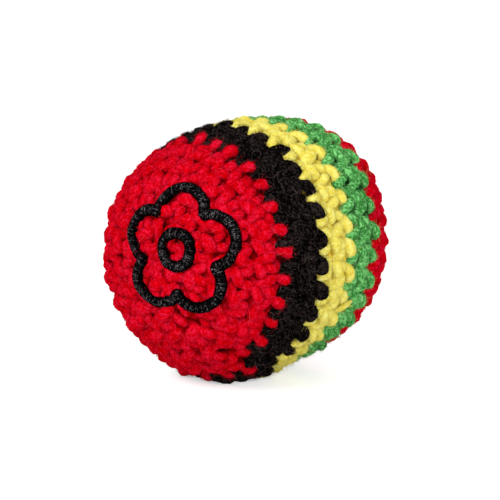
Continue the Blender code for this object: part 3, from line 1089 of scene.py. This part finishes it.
pouch_places, pouch_faces, pouch_layout = pouch_mesh()
CREAM_CLOTH = woven_material(
    "pouch_cloth", colour=(0.72, 0.68, 0.57), shade=(0.52, 0.47, 0.36), ridges=6.3, laid_flat=True
)
liner_pouch = plain_piece("gathered_pouch", pouch_places, pouch_faces, CREAM_CLOTH)
corner_points = np.empty(len(liner_pouch.data.loops), np.int32)
liner_pouch.data.loops.foreach_get("vertex_index", corner_points)
cloth_map = liner_pouch.data.uv_layers.new(name="cloth")
cloth_map.data.foreach_set("uv", pouch_layout[corner_points].astype(np.float32).ravel())
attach(liner_pouch, "root")
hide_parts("liner_pouch")

# Pouch tie: sewing thread wound four times round the pouch's neck, pulled
# tight and knotted, with its two short ends left beside the neck.
TIE_TURNS = 4
TURN_POINTS = 60
END_POINTS = 30
TIE_THREAD = 0.19
TIE_STEP = 0.36
TIE_SIDES = 10
TIE_WINDING = 3.12
KNOT_TURNS = 2
KNOT_STEP = 0.12
KNOT_LENGTH = 0.5
KNOT_HEIGHT = 0.28
KNOT_PLACE = 3.42
FIRST_END = ((-3.4, 1.3, 4.1), (-2.2, 0.9, 3.5), (-1.1, -0.1, 3.35))
LAST_END = ((1.2, 0.9, 3.3), (2.3, 1.1, 3.7), (3.1, 1.7, 4.4))


def thread_tube(line, radius):
    """A closed tube of thread along a line of points in mm."""
    tangent = unit(np.gradient(line, axis=0))
    side = unit(np.cross(tangent, np.array((0.0, 1.0, 0.0))))
    up = np.cross(side, tangent)
    turn = turns(TIE_SIDES)[None, :, None]
    ring = line[:, None] + radius * (np.cos(turn) * side[:, None] + np.sin(turn) * up[:, None])
    return np.concatenate([ring.reshape(-1, 3), line[[0, -1]]]), closed_tube(len(line), TIE_SIDES)


tie_low, tie_high = (np.array(corner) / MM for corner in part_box("pouch_tie"))
tie_middle = (tie_low + tie_high) / 2
wind = np.linspace(0, 2 * math.pi * TIE_TURNS, TURN_POINTS * TIE_TURNS)
winding = np.stack([
    TIE_WINDING * np.sin(wind),
    TIE_STEP * (wind / (2 * math.pi) - TIE_TURNS / 2),
    TIE_WINDING * np.cos(wind),
], -1)
first_end = smooth_path(np.array([[*FIRST_END, winding[0]]]), END_POINTS)[0]
last_end = smooth_path(np.array([[winding[-1], *LAST_END]]), END_POINTS)[0]
knot_turn = np.linspace(0, 2 * math.pi * KNOT_TURNS, TURN_POINTS)
knot = np.stack([
    KNOT_STEP * (knot_turn / (2 * math.pi) - KNOT_TURNS / 2),
    KNOT_LENGTH * np.cos(knot_turn),
    KNOT_PLACE + KNOT_HEIGHT * np.sin(knot_turn),
], -1)
tie_line = np.concatenate([first_end[:-1], winding, last_end[1:]]) + tie_middle
tie_places, tie_faces = thread_tube(tie_line, TIE_THREAD)
knot_places, knot_faces = thread_tube(knot + tie_middle, TIE_THREAD)
tie_faces = tie_faces + [tuple(corner + len(tie_places) for corner in face) for face in knot_faces]
COTTON_THREAD = woven_material(
    "tie_thread", colour=(0.82, 0.81, 0.77), shade=(0.66, 0.64, 0.58), ridges=1500.0, laid_flat=False
)
pouch_tie = plain_piece("tie_thread", np.concatenate([tie_places, knot_places]), tie_faces, COTTON_THREAD)
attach(pouch_tie, "root")
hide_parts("pouch_tie")

# Pellets: about a thousand loose plastic granules that fill the pouch and
# give the bag its weight. Each is a small lens with a shallow cut edge.
PELLET_STEP = 3.75
PELLET_SIZE = (1.70, 1.70, 1.35)
PELLET_REACH = 1.76
PELLET_FLATNESS = 0.8
PELLET_ROOM = 1.8
PELLET_UNEVEN = 0.06
PELLET_SIZE_UNEVEN = 0.03
LAYER_SHIFT = 0.577
PLEAT_ROOM = 0.8
PLEAT_ROOM_START = 12.0
PLEAT_ROOM_LENGTH = 8.0

fill_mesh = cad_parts["pellet_fill"].data
fill_tree = BVHTree.FromPolygons(
    [tuple(vertex.co) for vertex in fill_mesh.vertices], [tuple(face.vertices) for face in fill_mesh.polygons]
)


def pellet_places(chance):
    """Where the pellets lie: close rows with a little disorder, in mm."""
    low, high = (np.array(corner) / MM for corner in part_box("pellet_fill"))
    layer_step = PELLET_STEP * math.sqrt(2 / 3)
    line_step = PELLET_STEP * math.sqrt(3) / 2
    places = []
    for layer in range(int((high[2] - low[2]) / layer_step) + 2):
        z = low[2] + layer * layer_step
        shift = PELLET_STEP / 2 * (layer % 2)
        for line in range(int((high[1] - low[1]) / line_step) + 2):
            y = low[1] + line * line_step + shift * LAYER_SHIFT
            for spot in range(int((high[0] - low[0]) / PELLET_STEP) + 2):
                x = low[0] + spot * PELLET_STEP + PELLET_STEP / 2 * (line % 2) + shift
                at = np.array((x, y, z)) + chance.normal(0, PELLET_UNEVEN, 3)
                near = fill_tree.find_nearest(Vector(at * MM))
                inward = (Vector(at * MM) - near[0]).dot(near[1]) < 0
                beside_neck = (at[1] - RING_CENTRE[1] - PLEAT_ROOM_START) / PLEAT_ROOM_LENGTH
                room = PELLET_ROOM + PLEAT_ROOM * min(max(beside_neck, 0.0), 1.0)
                if inward and near[3] / MM > room:
                    places.append(at)
    return np.array(places)


def pellet_mesh(chance):
    """All the pellets as one set of small closed bodies."""
    ball = bmesh.new()
    bmesh.ops.create_icosphere(ball, subdivisions=2, radius=1.0)
    points = np.array([vertex.co for vertex in ball.verts])
    corners = np.array([[vertex.index for vertex in face.verts] for face in ball.faces])
    ball.free()
    points[:, 2] = np.sign(points[:, 2]) * np.abs(points[:, 2]) ** PELLET_FLATNESS
    places = []
    for centre in pellet_places(chance):
        turn, _ = np.linalg.qr(chance.normal(0, 1, (3, 3)))
        turn = turn * np.sign(np.linalg.det(turn))
        size = np.array(PELLET_SIZE) * (1 + chance.normal(0, PELLET_SIZE_UNEVEN, 3))
        places.append(np.clip(points * size, -PELLET_REACH, PELLET_REACH) @ turn.T + centre)
    return np.concatenate(places), copied(corners, len(points), len(places)).tolist()


MILKY_TONES = ((0.35, (0.66, 0.69, 0.72)), (0.65, (0.84, 0.86, 0.87)))
MILKY_SCALE = 300.0


def pellet_material():
    """Milky plastic with a faint change of tone from pellet to pellet."""
    material, tree, shader = new_material("pellets")
    cloud = noise(tree, add_node(tree, "TexCoord", {}).outputs["Object"], MILKY_SCALE)
    feed(tree, shader, {"Base Color": colour_ramp(tree, cloud, MILKY_TONES), "Roughness": 0.35})
    return material


loose_places, loose_faces = pellet_mesh(np.random.default_rng(97))
pellet_fill = plain_piece("loose_pellets", loose_places, loose_faces, pellet_material())
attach(pellet_fill, "root")
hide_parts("pellet_fill")

# Studio: a plain matt floor and room that look white to the camera and in
# reflections, so that the light on the bag stays even and the floor keeps its
# soft shadow.
FLOOR_HALF = 3
FLOOR_GLOW = 0.57
ROOM_LIGHT = 0.55


def seen_or_mirrored(tree):
    """1 for rays that come from the camera, a reflection or glass, and 0 for the others."""
    rays = add_node(tree, "LightPath", {}).outputs
    total = rays["Is Camera Ray"]
    for kind in ("Is Glossy Ray", "Is Transmission Ray"):
        total = add_node(tree, "Math", {0: total, 1: rays[kind]}, operation="ADD", use_clamp=True).outputs[0]
    return total


floor_look, floor_tree, floor_shader = new_material("studio_floor")
feed(floor_tree, floor_shader, {
    "Base Color": (0.8, 0.8, 0.8),
    "Roughness": 1.0,
    "Specular IOR Level": 0.0,
    "Emission Color": (1, 1, 1),
    "Emission Strength": maths(floor_tree, "MULTIPLY", seen_or_mirrored(floor_tree), FLOOR_GLOW),
})
floor_corners = FLOOR_HALF / MM * np.array([(-1, -1, 0), (1, -1, 0), (1, 1, 0), (-1, 1, 0)])
floor = plain_piece("floor", floor_corners, [(0, 1, 2, 3)], floor_look)

world = bpy.data.worlds.new("studio")
bpy.context.scene.world = world
world.use_nodes = True
room = world.node_tree
seen = seen_or_mirrored(room)
room_light = add_node(room, "MapRange", {"Value": seen, "To Min": ROOM_LIGHT, "To Max": 1.0})
feed(room, room.nodes["Background"], {"Color": (1, 1, 1), "Strength": room_light.outputs["Result"]})

# Lights: four square softboxes in metres and watts, with the main one over the
# front dome, two that fill the right side and one that keeps the back legible.
LIGHT_AIM = (0, 0, 0.027)


def softbox(name, place, size, power):
    """A square studio light aimed at the middle of the ball."""
    light = bpy.data.lights.new(name, "AREA")
    light.shape = "SQUARE"
    light.size = size
    light.energy = power
    lamp = bpy.data.objects.new(name, light)
    lamp.location = place
    lamp.rotation_mode = "QUATERNION"
    lamp.rotation_quaternion = (Vector(LIGHT_AIM) - lamp.location).to_track_quat("-Z", "Y")
    bpy.context.scene.collection.objects.link(lamp)


softbox("key", (-0.10, -0.85, 0.72), 0.50, 7.2)
softbox("fill", (0.85, -0.20, 0.24), 0.6, 4.0)
softbox("low_fill", (0.36, -0.92, 0.09), 0.5, 4.3)
softbox("rear", (-0.50, 0.85, 0.60), 0.6, 4.0)

# Camera at the photograph's angle: a long lens, almost half a metre away, that
# looks down ten degrees. The aim is shifted so that the bag lies in the frame
# where it does in the photograph, of 500 pixels a side.
AZIMUTH = math.radians(41.6)
ELEVATION = math.radians(9.8)
DISTANCE = 480.0
HALF_FRAME = 250
PIXEL = 0.2
RING_AT = (245.0, 242.4)
SENSOR = 36.0
back = np.array((
    math.sin(AZIMUTH) * math.cos(ELEVATION),
    -math.cos(AZIMUTH) * math.cos(ELEVATION),
    math.sin(ELEVATION),
))
right = np.array((math.cos(AZIMUTH), math.sin(AZIMUTH), 0.0))
up = np.cross(back, right)
eye = RING_CENTRE + back * DISTANCE
aim_point = RING_CENTRE + right * (HALF_FRAME - RING_AT[0]) * PIXEL - up * (HALF_FRAME - RING_AT[1]) * PIXEL
camera_data = bpy.data.cameras.new("camera")
camera_data.sensor_width = SENSOR
camera_data.lens = SENSOR / 2 * DISTANCE / (HALF_FRAME * PIXEL)
camera_data.clip_start = 0.01
camera = bpy.data.objects.new("camera", camera_data)
camera.location = Vector(eye * MM)
camera.rotation_mode = "QUATERNION"
camera.rotation_quaternion = Vector(aim_point - eye).to_track_quat("-Z", "Y")
bpy.context.scene.collection.objects.link(camera)
bpy.context.scene.camera = camera
bpy.context.scene.view_settings.view_transform = "Standard"
